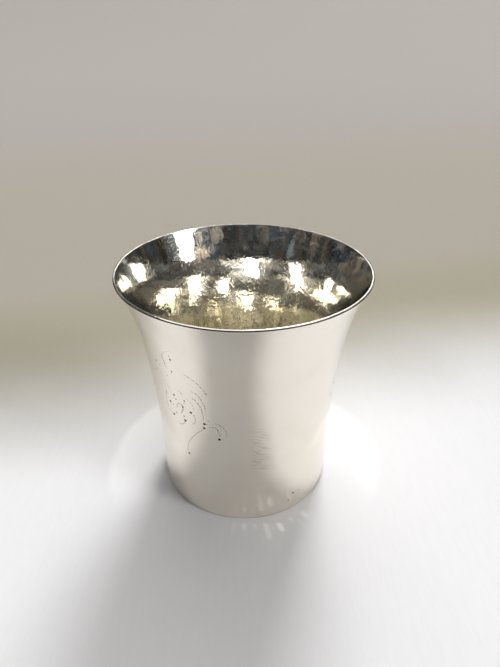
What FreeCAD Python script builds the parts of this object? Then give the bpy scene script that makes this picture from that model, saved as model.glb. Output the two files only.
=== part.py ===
import FreeCAD, Part
import math
import os
import Sketcher

# A small flared silver beaker: a sheet wall, a base let into its foot, and a half-round wire
# round the lip, with a fillet of solder at each joint. Millimetres, +Z up, and the origin is
# on the axis at the edge that the beaker stands on.

doc = FreeCAD.newDocument("beaker")
sizes = doc.addObject("Spreadsheet::Sheet", "sizes")

# Driving sizes: alias, value, what it is
driving_sizes = [
    ("beaker_height", 83.0, "from the standing edge to the lip"),
    ("foot_diameter", 62.4, "outside of the wall at the standing edge"),
    ("foot_height", 12.0, "upright stretch of wall above the standing edge"),
    ("body_spread", 4.15, "how far the body widens above the foot"),
    ("lip_depth", 20.6, "height of the flaring lip"),
    ("lip_spread", 6.5, "how far the lip flares beyond the body"),
    ("wall_thickness", 0.7, "sheet wall"),
    ("wall_edge_round", 0.2, "worn rounding of the wall's two bare edges"),
    ("base_thickness", 0.8, "sheet base"),
    ("base_lift", 0.8, "underside of the base above the standing edge"),
    ("base_seat", 2.5, "flat ring round the base, where it meets the wall"),
    ("base_rise", 0.7, "height of the dome in the middle of the base"),
    ("base_solder_leg", 0.7, "solder fillet inside, where the base meets the wall"),
    ("lip_wire_width", 0.9, "half-round wire, across its flat back"),
    ("lip_wire_flat", 0.3, "flat underside of the wire, square to its back"),
    ("lip_solder_leg", 0.3, "solder fillet under the lip wire, down the wall"),
    ("meniscus_share", 1.4, "radius of the base solder's hollow face, in legs"),
]
for row, (alias, number, meaning) in enumerate(driving_sizes, start=1):
    sizes.set(f"A{row}", meaning)
    sizes.set(f"B{row}", str(number))
    sizes.setAlias(f"B{row}", alias)
doc.recompute()

origin = (-1, 1)    # the sketch's own origin, as element and point
axis_line = -2      # the sketch's vertical axis, which is the beaker's axis
base_line = -1      # the sketch's horizontal axis, at the standing edge
first, last, centre = 1, 2, 3    # points of a line or an arc
tolerance_share = 1e-6    # of a radius, when an edge is looked for by its place


def size(alias):
    return float(sizes.get(alias))


def new_body(name):
    """An empty body with one sketch on its own upright XZ plane."""
    body = doc.addObject("PartDesign::Body", name)
    body.Label = name
    sketch = body.newObject("Sketcher::SketchObject", name + "_section")
    upright = [plane for plane in body.Origin.OriginFeatures if plane.Role == "XZ_Plane"]
    sketch.AttachmentSupport = [(upright[0], "")]
    sketch.MapMode = "FlatFace"
    return body, sketch


def vector(point):
    return FreeCAD.Vector(point[0], point[1], 0)


def add_line(sketch, start, end, construction=False):
    return sketch.addGeometry(Part.LineSegment(vector(start), vector(end)), construction)


def add_arc(sketch, start, end, radius, construction=False):
    """The arc of up to a half circle that runs anticlockwise from start to end."""
    half_x = (end[0] - start[0]) / 2
    half_z = (end[1] - start[1]) / 2
    half_chord = math.hypot(half_x, half_z)
    reach = math.sqrt(max(radius * radius - half_chord * half_chord, 0)) / half_chord
    middle = (start[0] + half_x - half_z * reach, start[1] + half_z + half_x * reach)
    circle = Part.Circle(vector(middle), FreeCAD.Vector(0, 0, 1), radius)
    angles = [math.atan2(point[1] - middle[1], point[0] - middle[0]) for point in (start, end)]
    return sketch.addGeometry(Part.ArcOfCircle(circle, *angles), construction)


def tie(sketch, kind, *elements):
    """A constraint with no size, such as Coincident, Tangent or Vertical."""
    sketch.addConstraint(Sketcher.Constraint(kind, *elements))


def measure(sketch, name, kind, elements, expression):
    """A constraint whose size follows the sheet."""
    number = float(sketch.evalExpression(expression))
    index = sketch.addConstraint(Sketcher.Constraint(kind, *elements, number))
    sketch.renameConstraint(index, name)
    sketch.setExpression("Constraints." + name, expression)


def revolve(body, sketch):
    """Turns the body's section once round the beaker's axis."""
    doc.recompute()
    turned = body.newObject("PartDesign::Revolution", body.Label + "_turned")
    turned.Profile = (sketch, [""])
    turned.ReferenceAxis = (sketch, ["V_Axis"])
    turned.Angle = 360
    body.Tip = turned
    doc.recompute()
    return turned


# The wall's outline, worked out once from the sheet and used as each sketch's starting shape.
# The foot is upright. A slow arc leaves it without a corner and widens the body, and a
# tighter arc leaves that one without a corner and flares the lip.
foot_radius = size("foot_diameter") / 2
foot_edge = (foot_radius, 0)
foot_top = (foot_radius, size("foot_height"))
flare_start = (foot_radius + size("body_spread"), size("beaker_height") - size("lip_depth"))
lip_edge = (flare_start[0] + size("lip_spread"), size("beaker_height"))

body_rise = flare_start[1] - foot_top[1]
body_chord = math.hypot(size("body_spread"), body_rise)
body_radius = body_chord ** 2 / (2 * size("body_spread"))
flare_slope = 2 * math.atan2(size("body_spread"), body_rise)
outward = (math.cos(flare_slope), -math.sin(flare_slope))
lip_chord = math.hypot(size("lip_spread"), size("lip_depth"))
lip_bend = size("lip_spread") * outward[0] + size("lip_depth") * outward[1]
lip_radius = lip_chord ** 2 / (2 * lip_bend)
lip_centre = (flare_start[0] + lip_radius * outward[0], flare_start[1] + lip_radius * outward[1])


def on_lip_arc(height, inset):
    """Point of the lip's arc at this height, moved in by inset square to the arc."""
    radius = lip_radius + inset
    return (lip_centre[0] - math.sqrt(radius ** 2 - (height - lip_centre[1]) ** 2), height)


def below_on_lip_arc(start, distance):
    """Point of the lip's outer arc at a straight distance below another of its points."""
    away = math.atan2(start[1] - lip_centre[1], start[0] - lip_centre[0])
    away += 2 * math.asin(distance / (2 * lip_radius))
    return (lip_centre[0] + lip_radius * math.cos(away), lip_centre[1] + lip_radius * math.sin(away))


# The lip wire's corners: its foot on the wall, and the outer end of its flat underside
wire_width = size("lip_wire_width")
wire_flat = size("lip_wire_flat")
wire_foot = below_on_lip_arc(lip_edge, wire_width)
wire_rise = ((lip_edge[0] - wire_foot[0]) / wire_width, (lip_edge[1] - wire_foot[1]) / wire_width)
wire_corner = (wire_foot[0] + wire_rise[1] * wire_flat, wire_foot[1] - wire_rise[0] * wire_flat)
wire_radius = (wire_width ** 2 + wire_flat ** 2) / (2 * wire_width)


def draw_outer_side(sketch, construction=False):
    """Foot line, body arc and lip arc of the wall's outside."""
    foot = add_line(sketch, foot_edge, foot_top, construction)
    body = add_arc(sketch, flare_start, foot_top, body_radius, construction)
    lip = add_arc(sketch, lip_edge, flare_start, lip_radius, construction)
    tie(sketch, "Vertical", foot)
    tie(sketch, "PointOnObject", foot, first, base_line)
    tie(sketch, "Tangent", foot, last, body, last)
    tie(sketch, "Tangent", body, first, lip, last)
    measure(sketch, "foot_radius", "DistanceX", (*origin, foot, first), "sizes.foot_diameter / 2")
    measure(sketch, "foot_height", "DistanceY", (foot, first, foot, last), "sizes.foot_height")
    measure(sketch, "body_spread", "DistanceX", (foot, last, body, first), "sizes.body_spread")
    measure(sketch, "lip_spread", "DistanceX", (body, first, lip, first), "sizes.lip_spread")
    measure(sketch, "lip_depth", "DistanceY", (body, first, lip, first), "sizes.lip_depth")
    measure(sketch, "lip_height", "DistanceY", (*origin, lip, first), "sizes.beaker_height")
    return foot, body, lip


def draw_wire(sketch, lip, construction=False):
    """The lip wire's flat back on the wall, flat underside and half-round outside."""
    back = add_line(sketch, wire_foot, lip_edge, construction)
    flat = add_line(sketch, wire_foot, wire_corner, construction)
    half_round = add_arc(sketch, wire_corner, lip_edge, wire_radius, construction)
    tie(sketch, "Coincident", back, last, lip, first)
    tie(sketch, "PointOnObject", back, first, lip)
    tie(sketch, "Coincident", flat, first, back, first)
    tie(sketch, "Perpendicular", flat, back)
    tie(sketch, "Coincident", half_round, first, flat, last)
    tie(sketch, "Coincident", half_round, last, back, last)
    tie(sketch, "PointOnObject", half_round, centre, back)
    measure(sketch, "wire_width", "Distance", (back, first, back, last), "sizes.lip_wire_width")
    measure(sketch, "wire_flat", "Distance", (flat, first, flat, last), "sizes.lip_wire_flat")
    return flat


def edges_at(shape, height, radius):
    """Names of the round edges at this height and radius about the beaker's axis."""
    tolerance = radius * tolerance_share
    names = []
    for number, edge in enumerate(shape.Edges, start=1):
        box = edge.BoundBox
        found = (box.ZMin, box.ZMax, box.XMax)
        wanted = (height, height, radius)
        if all(abs(a - b) < tolerance for a, b in zip(found, wanted)):
            names.append(f"Edge{number}")
    return names


# Wall: the outer side, the same side moved in by the thickness, a flat foot and a flat lip
wall, section = new_body("beaker_wall")
outer_foot, outer_body, outer_lip = draw_outer_side(section)
thickness = size("wall_thickness")
inner_radius = foot_radius - thickness
inner_flare = (flare_start[0] - thickness * outward[0], flare_start[1] - thickness * outward[1])
inner_lip_edge = on_lip_arc(lip_edge[1], thickness)
inner_foot = add_line(section, (inner_radius, 0), (inner_radius, foot_top[1]))
inner_body = add_arc(section, inner_flare, (inner_radius, foot_top[1]), body_radius + thickness)
inner_lip = add_arc(section, inner_lip_edge, inner_flare, lip_radius + thickness)
foot_land = add_line(section, (inner_radius, 0), foot_edge)
lip_land = add_line(section, inner_lip_edge, lip_edge)
tie(section, "Vertical", inner_foot)
tie(section, "Tangent", inner_foot, last, inner_body, last)
tie(section, "Tangent", inner_body, first, inner_lip, last)
tie(section, "Coincident", inner_body, centre, outer_body, centre)
tie(section, "Coincident", inner_lip, centre, outer_lip, centre)
tie(section, "Coincident", foot_land, first, inner_foot, first)
tie(section, "Coincident", foot_land, last, outer_foot, first)
tie(section, "Coincident", lip_land, first, inner_lip, first)
tie(section, "Coincident", lip_land, last, outer_lip, first)
tie(section, "Horizontal", foot_land)
tie(section, "Horizontal", lip_land)
measure(section, "thickness", "DistanceX", (foot_land, first, foot_land, last), "sizes.wall_thickness")
wall_turned = revolve(wall, section)

# Years of use have rounded the standing edge outside and the lip's edge inside
worn = wall.newObject("PartDesign::Fillet", "worn_edges")
worn_edges = edges_at(wall_turned.Shape, 0, foot_radius)
worn_edges += edges_at(wall_turned.Shape, lip_edge[1], inner_lip_edge[0])
worn.Base = (wall_turned, worn_edges)
worn.setExpression("Radius", "sizes.wall_edge_round")
wall.Tip = worn

# Base: a plate that fills the foot, flat where it meets the wall and domed in the middle
inside_foot = "sizes.foot_diameter / 2 - sizes.wall_thickness"
base_top = "sizes.base_lift + sizes.base_thickness"
base, section = new_body("base_disc")
under = size("base_lift")
top = under + size("base_thickness")
crown_under = under + size("base_rise")
crown_top = top + size("base_rise")
seat_radius = inner_radius - size("base_seat")
dome_radius = (seat_radius ** 2 + size("base_rise") ** 2) / (2 * size("base_rise"))
middle = add_line(section, (0, crown_under), (0, crown_top))
dome_top = add_arc(section, (seat_radius, top), (0, crown_top), dome_radius)
seat_top = add_line(section, (seat_radius, top), (inner_radius, top))
rim = add_line(section, (inner_radius, top), (inner_radius, under))
seat_under = add_line(section, (inner_radius, under), (seat_radius, under))
dome_under = add_arc(section, (seat_radius, under), (0, crown_under), dome_radius)
tie(section, "PointOnObject", middle, first, axis_line)
tie(section, "Vertical", middle)
tie(section, "Coincident", middle, last, dome_top, last)
tie(section, "PointOnObject", dome_top, centre, axis_line)
tie(section, "Coincident", dome_top, first, seat_top, first)
tie(section, "Horizontal", seat_top)
tie(section, "Coincident", seat_top, last, rim, first)
tie(section, "Vertical", rim)
tie(section, "Coincident", rim, last, seat_under, first)
tie(section, "Horizontal", seat_under)
tie(section, "Coincident", seat_under, last, dome_under, first)
tie(section, "Coincident", dome_under, last, middle, first)
tie(section, "PointOnObject", dome_under, centre, axis_line)
measure(section, "rim_radius", "DistanceX", (*origin, rim, last), inside_foot)
measure(section, "base_lift", "DistanceY", (*origin, rim, last), "sizes.base_lift")
measure(section, "base_thickness", "DistanceY", (rim, last, rim, first), "sizes.base_thickness")
measure(section, "middle_thickness", "DistanceY", (middle, first, middle, last), "sizes.base_thickness")
measure(section, "base_rise", "DistanceY", (seat_top, first, middle, last), "sizes.base_rise")
measure(section, "top_seat", "DistanceX", (seat_top, first, seat_top, last), "sizes.base_seat")
measure(section, "under_seat", "DistanceX", (seat_under, last, seat_under, first), "sizes.base_seat")
revolve(base, section)

# Base solder: a hollow-faced fillet in the corner between the base and the wall
base_solder, section = new_body("base_solder")
leg = size("base_solder_leg")
meniscus = leg * size("meniscus_share")
on_base = add_line(section, (inner_radius - leg, top), (inner_radius, top))
on_wall = add_line(section, (inner_radius, top), (inner_radius, top + leg))
hollow = add_arc(section, (inner_radius - leg, top), (inner_radius, top + leg), meniscus)
tie(section, "Horizontal", on_base)
tie(section, "Vertical", on_wall)
tie(section, "Coincident", on_base, last, on_wall, first)
tie(section, "Coincident", hollow, first, on_base, first)
tie(section, "Coincident", hollow, last, on_wall, last)
measure(section, "corner_radius", "DistanceX", (*origin, on_wall, first), inside_foot)
measure(section, "corner_height", "DistanceY", (*origin, on_wall, first), base_top)
measure(section, "base_leg", "DistanceX", (on_base, first, on_base, last), "sizes.base_solder_leg")
measure(section, "wall_leg", "DistanceY", (on_wall, first, on_wall, last), "sizes.base_solder_leg")
measure(section, "meniscus", "Radius", (hollow,), "sizes.base_solder_leg * sizes.meniscus_share")
revolve(base_solder, section)

# Lip wire: half round, its flat back against the wall and its top level with the lip
lip_wire, section = new_body("lip_wire")
lip = draw_outer_side(section, True)[-1]
draw_wire(section, lip)
revolve(lip_wire, section)

# Lip solder: a thin flat-faced fillet in the corner under the wire
lip_solder, section = new_body("lip_solder")
lip = draw_outer_side(section, True)[-1]
flat = draw_wire(section, lip, True)
wall_end = below_on_lip_arc(wire_foot, size("lip_solder_leg"))
on_wall = add_line(section, wire_foot, wall_end)
on_wire = add_line(section, wire_foot, wire_corner)
face = add_line(section, wire_corner, wall_end)
tie(section, "Coincident", on_wall, first, flat, first)
tie(section, "PointOnObject", on_wall, last, lip)
tie(section, "Coincident", on_wire, first, flat, first)
tie(section, "Coincident", on_wire, last, flat, last)
tie(section, "Coincident", face, first, on_wire, last)
tie(section, "Coincident", face, last, on_wall, last)
measure(section, "wall_leg", "Distance", (on_wall, first, on_wall, last), "sizes.lip_solder_leg")
revolve(lip_solder, section)

# Every object must have been worked out before a file is written
doc.recompute()
for part in doc.Objects:
    if "Invalid" in part.State or "Error" in part.State:
        raise RuntimeError(f"{part.Name} failed: {part.State}")
    if part.isDerivedFrom("Sketcher::SketchObject") and not part.FullyConstrained:
        raise RuntimeError(f"{part.Name} is not fully constrained")
pieces = [wall, base, base_solder, lip_wire, lip_solder]
for piece in pieces:
    if piece.Shape.isNull() or not piece.Shape.isValid():
        raise RuntimeError(f"{piece.Label} has no valid shape")

os.makedirs("parts", exist_ok=True)
for piece in pieces:
    piece.Shape.exportStep(f"parts/{piece.Label}.step")
    print(f"{piece.Label}: {len(piece.Shape.Solids)} solid, {piece.Shape.Volume:.1f} cubic mm")
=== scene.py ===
import math

import bpy
import numpy as np
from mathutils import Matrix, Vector, geometry


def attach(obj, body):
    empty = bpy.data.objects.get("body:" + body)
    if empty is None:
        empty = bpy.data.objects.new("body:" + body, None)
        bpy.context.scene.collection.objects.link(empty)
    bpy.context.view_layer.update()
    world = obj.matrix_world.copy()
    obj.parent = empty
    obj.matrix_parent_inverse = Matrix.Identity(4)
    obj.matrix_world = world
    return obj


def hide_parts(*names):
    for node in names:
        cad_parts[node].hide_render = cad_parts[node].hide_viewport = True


# A small silver beaker, engraved outside and hammered inside, on a pale sheet. Shapes are worked
# out in millimetres and written in metres. Azimuth is in degrees round the axis from the front,
# which is -Y, and grows towards +X.
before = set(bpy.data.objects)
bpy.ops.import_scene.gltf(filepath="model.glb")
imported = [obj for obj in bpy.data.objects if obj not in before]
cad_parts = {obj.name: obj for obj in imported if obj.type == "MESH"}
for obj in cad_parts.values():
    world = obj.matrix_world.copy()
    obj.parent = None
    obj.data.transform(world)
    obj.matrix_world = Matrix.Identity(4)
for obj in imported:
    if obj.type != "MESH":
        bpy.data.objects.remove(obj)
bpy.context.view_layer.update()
mm = 0.001
turn = 2 * math.pi
random = np.random.default_rng(7)
batch = 2000    # points that are measured against many others at a time, to save memory

# The wall's outline. Foot, body and flare have the solid model's sizes. The lip is thinner by
# lipThin, its top falls outward by lipLean, in degrees, and its wire is finer
wall = {
    "height": 83.0, "footRadius": 31.2, "footHeight": 12.0, "bodySpread": 4.15,
    "lipDepth": 20.6, "lipSpread": 6.5, "thickness": 0.7, "edgeRound": 0.2,
    "lipRound": 0.1, "lipLean": 22.0, "lipThin": 0.27,
    "wireWidth": 0.56, "wireFlat": 0.18, "wallSolder": 0.2,
    # inside: columns round, rows above and below lowTop, and steps round the two worn edges
    "columns": 384, "innerRows": 112, "lowRows": 30, "lowTop": 30.0, "edgeSteps": 5, "lipSteps": 8,
    # outside: the even grid between the engraved marks
    "skinColumns": 270, "skinRows": 98,
}
flareZ = wall["height"] - wall["lipDepth"]
bodyRise = flareZ - wall["footHeight"]
bodyRadius = (bodyRise ** 2 + wall["bodySpread"] ** 2) / (2 * wall["bodySpread"])
flareSlope = 2 * math.atan2(wall["bodySpread"], bodyRise)
flareRadius = wall["footRadius"] + wall["bodySpread"]
lipBend = wall["lipSpread"] * math.cos(flareSlope) - wall["lipDepth"] * math.sin(flareSlope)
lipRadius = (wall["lipSpread"] ** 2 + wall["lipDepth"] ** 2) / (2 * lipBend)
lipCentre = (flareRadius + lipRadius * math.cos(flareSlope), flareZ - lipRadius * math.sin(flareSlope))
meanRadius = 36.0
around = turn * meanRadius    # length of the unrolled outside
# Extra thickness inside, as (height, millimetres) with even change between
swelling = [(0, 0), (4, 0), (16, 0.6), (72, 0), (80, -wall["lipThin"]), (83, -wall["lipThin"])]


# Radius of the wall's side at each height, moved in by inset square to the surface: a straight
# foot, then a circle that leaves it without a corner, then a tighter circle out to the lip
def sideRadius(z, inset=0.0):
    z = np.asarray(z, float)
    up = np.maximum(z - wall["footHeight"], 0)
    body = wall["footRadius"] + bodyRadius - np.sqrt((bodyRadius + inset) ** 2 - up ** 2)
    lip = lipCentre[0] - np.sqrt((lipRadius + inset) ** 2 - np.maximum(z - lipCentre[1], 0) ** 2)
    return np.where(z < flareZ + inset * math.sin(flareSlope), body, lip)


# Angle of the side from upright at each height, from the sine of height over radius
def sideSlope(z, inset=0.0):
    z = np.asarray(z, float)
    up = np.maximum(z - wall["footHeight"], 0)
    body = np.arcsin(up / (bodyRadius + inset))
    lip = np.arcsin(np.maximum(z - lipCentre[1], 0) / (lipRadius + inset))
    return np.where(z < flareZ + inset * math.sin(flareSlope), body, lip)


# The lip's worn top: a small round at the inner edge, then a slope that falls outward at the lean.
# Gives the round's centre and the angle at which it leaves the inner side, and where the slope ends
def lipTop():
    inset = wall["thickness"] - wall["lipThin"]
    rounding, lean = wall["lipRound"], math.radians(wall["lipLean"])
    centreZ = wall["height"] - rounding
    reach = lipRadius + inset - rounding
    tilt = math.asin((centreZ - lipCentre[1]) / reach)
    centreR = lipCentre[0] - reach * math.cos(tilt)
    leaveR, leaveZ = centreR + rounding * math.sin(lean), centreZ + rounding * math.cos(lean)
    edgeZ = wall["height"]
    for guess in range(30):    # each guess comes nearer to where the slope meets the outer side
        edgeZ = leaveZ - (float(sideRadius(edgeZ)) - leaveR) * math.tan(lean)
    return centreR, centreZ, tilt, float(sideRadius(edgeZ)), edgeZ


lipMiddleR, lipMiddleZ, lipTilt, lipEdgeR, lipEdgeZ = lipTop()


# Points on the wall's side at an angle and a height, moved inward by depth square to the side
def sidePoints(angle, z, inset, depth):
    slope = sideSlope(z, inset)
    radius = sideRadius(z, inset) - depth * np.cos(slope)
    return np.stack([radius * np.sin(angle), -radius * np.cos(angle), z + depth * np.sin(slope)], -1)


# A ring of points at one radius and height, or at one radius and height for each angle
def ringPoints(angle, radius, z):
    z = np.broadcast_to(z, angle.shape)
    return np.stack([radius * np.sin(angle), -radius * np.cos(angle), z], -1)


# Even angles once round the axis, the last one equal to the first
def evenAngles(count):
    angle = np.linspace(0, turn, count + 1)
    angle[-1] = 0.0
    return angle


# A distance round the wall taken the shorter way, where whole is the distance once round
def shorterWay(distance, whole):
    return (distance + whole / 2) % whole - whole / 2


# Runs evenly from low to 1 as share runs from 0 to 1
def rising(share, low):
    return low + (1 - low) * share


# 1 on the wall, fading to 0 towards its ends: up from a height over a run, and down over a run to a
# distance below the lip
def fadeEnds(z, start, startRun, belowLip, endRun):
    end = wall["height"] - belowLip
    return np.clip((z - start) / startRun, 0, 1) * np.clip((end - z) / endRun, 0, 1)


# Hammer facets: at each point the highest of many shallow domes, one at each centre, with the
# ridges between them softened by taking the logarithm of a sum of exponentials
def facets(points, centres, lift, domeRadius, softness):
    height = np.zeros(len(points))
    for start in range(0, len(points), batch):
        part = slice(start, start + batch)
        away = ((points[part, None] - centres[None]) ** 2).sum(-1)
        dome = (lift - away / (2 * domeRadius)) / softness
        top = dome.max(1)
        height[part] = softness * (top + np.log(np.exp(dome - top[:, None]).sum(1)))
    return height


# Welds points that coincide. Four-cornered faces that lose a corner by it become triangles. Gives
# the points, the groups of faces and which of the old points were kept
def weld(points, groups):
    rounded = np.round(points, 5)
    keep, renumber = np.unique(rounded, axis=0, return_index=True, return_inverse=True)[1:]
    renumber = renumber.reshape(-1)
    welded = []
    for faces in groups:
        faces = renumber[faces]
        same = faces == np.roll(faces, -1, axis=1)
        whole = faces[~same.any(1)].tolist()
        pinched = faces[same.sum(1) == 1] if faces.shape[1] == 4 else faces[:0]
        gone = same[same.sum(1) == 1] if faces.shape[1] == 4 else same[:0]
        welded.append(whole + pinched[~gone].reshape(-1, 3).tolist())
    return points[keep], welded, keep


# A smooth mesh object in metres from points in millimetres and their faces
def newObject(name, points, faces, materials):
    mesh = bpy.data.meshes.new(name)
    mesh.from_pydata((points * mm).tolist(), [], faces)
    mesh.polygons.foreach_set("use_smooth", np.ones(len(faces), bool))
    for material in materials:
        mesh.materials.append(material)
    made = bpy.data.objects.new(name, mesh)
    bpy.context.scene.collection.objects.link(made)
    return made


# A finished piece in place of a solid. Each group of faces has its own material, edges that bend by
# more than sharpAngle degrees stay sharp, and numbers are named values for each point
def makePiece(name, points, groups, materials, replaced, sharpAngle, numbers=None):
    piece = newObject(name, points, [face for group in groups for face in group], materials)
    mesh = piece.data
    kinds = np.concatenate([np.full(len(group), place) for place, group in enumerate(groups)])
    mesh.polygons.foreach_set("material_index", kinds.astype(np.int32))
    for title, values in (numbers or {}).items():
        mesh.attributes.new(title, "FLOAT", "POINT").data.foreach_set("value", values.astype(np.float32))
    mesh.update()
    mesh.set_sharp_from_angle(angle=math.radians(sharpAngle))
    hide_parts(replaced)
    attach(piece, "root")
    print(f"{name}: {len(points)} points, {len(mesh.polygons)} faces")


# Faces between neighbouring rows of a grid of points, rows by columns, numbered from start
def gridFaces(rows, columns, start=0):
    numbers = start + np.arange(rows * columns).reshape(rows, columns)
    corners = (numbers[:-1, :-1], numbers[:-1, 1:], numbers[1:, 1:], numbers[1:, :-1])
    return np.stack([corner.ravel() for corner in corners], -1)


# One socket of a material's nodes, with arithmetic that adds the node it needs
class Wire:
    def __init__(self, tree, socket):
        self.tree = tree
        self.socket = socket

    # one Math node on this wire and the others
    def math(self, operation, *others):
        return addNode(self.tree, "Math", {"operation": operation}, dict(enumerate((self, *others))))

    # one Vector Math node on this wire and another value
    def vector(self, operation, other=None, output=0):
        values = {0: self} if other is None else {0: self, 1: other}
        return addNode(self.tree, "VectorMath", {"operation": operation}, values, output)

    def __add__(self, other):
        return self.math("ADD", other)

    def __radd__(self, other):
        return self.math("ADD", other)

    def __sub__(self, other):
        return self.math("SUBTRACT", other)

    def __rsub__(self, other):
        return self.math("MULTIPLY", -1.0).math("ADD", other)

    def __mul__(self, other):
        return self.math("MULTIPLY", other)

    def __rmul__(self, other):
        return self.math("MULTIPLY", other)

    # 0 below low, 1 above high and a smooth step between
    def step(self, low, high):
        settings = {"interpolation_type": "SMOOTHSTEP"}
        return addNode(self.tree, "MapRange", settings, {0: self, 1: low, 2: high, 3: 0.0, 4: 1.0})

    # the colour that lies this far from first to second
    def blend(self, first, second):
        values = {"Factor": self, 6: first, 7: second}
        return addNode(self.tree, "Mix", {"data_type": "RGBA"}, values, output=2)


# Adds a node of a type with its settings and socket values, and gives one of its outputs
def addNode(tree, kind, settings=None, values=None, output=0):
    node = tree.nodes.new("ShaderNode" + kind)
    for title, value in (settings or {}).items():
        setattr(node, title, value)
    for title, value in (values or {}).items():
        if isinstance(value, Wire):
            tree.links.new(value.socket, node.inputs[title])
        elif isinstance(value, tuple) and len(value) == 3 and node.inputs[title].type == "RGBA":
            node.inputs[title].default_value = (*value, 1.0)
        else:
            node.inputs[title].default_value = value
    return Wire(tree, node.outputs[output]) if node.outputs else None


# An empty material's node tree with object coordinates in millimetres
def newMaterial(name):
    material = bpy.data.materials.new(name)
    material.use_nodes = True
    tree = material.node_tree
    tree.nodes.clear()
    place = addNode(tree, "TexCoord", output=3)
    return material, tree, place.vector("MULTIPLY", (1 / mm, 1 / mm, 1 / mm))


# The three coordinates of a point
def coordinates(place):
    split = addNode(place.tree, "SeparateXYZ", {}, {0: place})
    return [Wire(place.tree, socket) for socket in split.socket.node.outputs]


# Noise on points stretched by the three scales, each in waves per millimetre
def noiseAt(place, scales, detail, roughness=0.55, offset=0.0):
    moved = place.vector("MULTIPLY", scales).vector("ADD", (offset, offset, offset))
    values = {"Vector": moved, "Scale": 1.0, "Detail": detail, "Roughness": roughness}
    return addNode(place.tree, "TexNoise", {}, values)


# Thin random scratches: where a warped wave of noise crosses its middle, it leaves a fine line
def scratches(place, scales, width, offset):
    noise = noiseAt(place, scales, 2.0, 0.5, offset)
    return 1.0 - (noise - 0.5).math("ABSOLUTE").step(0.0, width)


# A material's shader with values for its sockets
def finish(tree, values):
    shader = addNode(tree, "BsdfPrincipled", {}, values)
    addNode(tree, "OutputMaterial", {}, {"Surface": shader})


# Silver: a metal whose roughness, tint and small relief follow the given wires. Gloss is the shine
# where tarnish leaves no bare metal
def finishSilver(tree, colour, roughness, relief, distance, metallic=1.0, gloss=0.5):
    normal = addNode(tree, "Bump", {}, {"Height": relief, "Strength": 1.0, "Distance": distance})
    finish(tree, {"Base Color": colour, "Roughness": roughness, "Metallic": metallic, "Normal": normal,
                  "Specular IOR Level": gloss})


satin = {
    "silver": (0.88, 0.835, 0.75), "haze": (0.81, 0.76, 0.67), "rubbed": (0.62, 0.57, 0.49),
    "tarnish": (0.035, 0.014, 0.012), "roughness": 0.13, "roughnessSpread": 0.07, "relief": 0.028,
    # a patch of fine cross marks: azimuth and half width in radians, lowest and highest point, how far
    # its ends fade, and from one mark to the next
    "chatter": (0.155, 0.13, 19.0, 46.0, 5.0, 9.0, 1.35),
}


# Satin outside: faint turning lines, scattered hair scratches, hazy patches, one patch of cross
# marks that are a sine of the height, and dark tarnish wherever the wall is cut
def makeSatin():
    material, tree, place = newMaterial("silver_satin")
    cloud = noiseAt(place, (0.07, 0.07, 0.07), 4.0)
    lines = noiseAt(place, (0.25, 0.25, 5.0), 3.0, 0.6, 3.1)
    grain = noiseAt(place, (2.2, 2.2, 2.2), 2.0, 0.6, 9.7)
    dapple = noiseAt(place, (0.45, 0.45, 0.45), 2.0, 0.5, 7.1)
    hairs = scratches(place, (0.35, 0.35, 0.9), 0.006, 5.3)
    cross = scratches(place, (0.8, 0.8, 0.16), 0.005, 1.9)
    cut = addNode(tree, "Attribute", {"attribute_name": "cut"}, {}, output=2)
    marks = hairs.math("MAXIMUM", cross)
    haze = cloud.step(0.42, 0.72) * 0.5 + grain.step(0.45, 0.8) * 0.2
    aside, deep, height = coordinates(place)
    azimuth, halfWidth, lowest, highest, fadeUp, fadeOut, pitch = satin["chatter"]
    patch = 1.0 - (aside.math("ARCTAN2", deep * -1.0) - azimuth).math("ABSOLUTE").step(0.0, halfWidth)
    patch = patch * height.step(lowest, lowest + fadeUp) * (1.0 - height.step(highest - fadeOut, highest))
    patch = patch * noiseAt(place, (0.35, 0.35, 0.5), 1.0, 0.5, 2.6).step(0.4, 0.6)
    wave = ((height + aside * 0.3 + cloud * 6.0) * (turn / pitch)).math("SINE")
    silver = haze.blend(satin["silver"], satin["haze"])
    silver = (wave.step(0.1, 0.9) * patch * 0.85).blend(silver, satin["rubbed"])
    colour = cut.step(0.1, 0.62).blend(silver, satin["tarnish"])
    roughness = satin["roughness"] + (cloud - 0.5) * satin["roughnessSpread"] + (grain - 0.5) * 0.06
    roughness = roughness + marks * 0.05 + cut * 0.3
    relief = lines * 0.25 + grain * 0.3 + dapple - marks * 0.2 + wave * patch * 0.6
    finishSilver(tree, colour, roughness, relief, satin["relief"] * mm)
    return material


burnished = {
    # the stain colour is partly real stain and partly a painted warm glow of light bouncing deep inside; the
    # band's two streak colours are a painted glint and a painted dark reflection
    "silver": (0.95, 0.925, 0.85), "stain": (0.91, 0.82, 0.58), "paintedDarkReflection": (0.25, 0.21, 0.135),
    "paintedGlint": (0.98, 0.90, 0.66), "roughness": 0.03, "relief": 0.042,
    # heights over which the stain with its painted warm glow and the haze fade out, and the band of painted
    # glint and dark reflection streaks starts and ends
    "stainAndGlowFade": (4.0, 58.0), "hazed": (10.0, 30.0), "bandStart": (18.0, 30.0), "bandEnd": (27.0, 41.0),
    "bandWander": 12.0,
}
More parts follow.
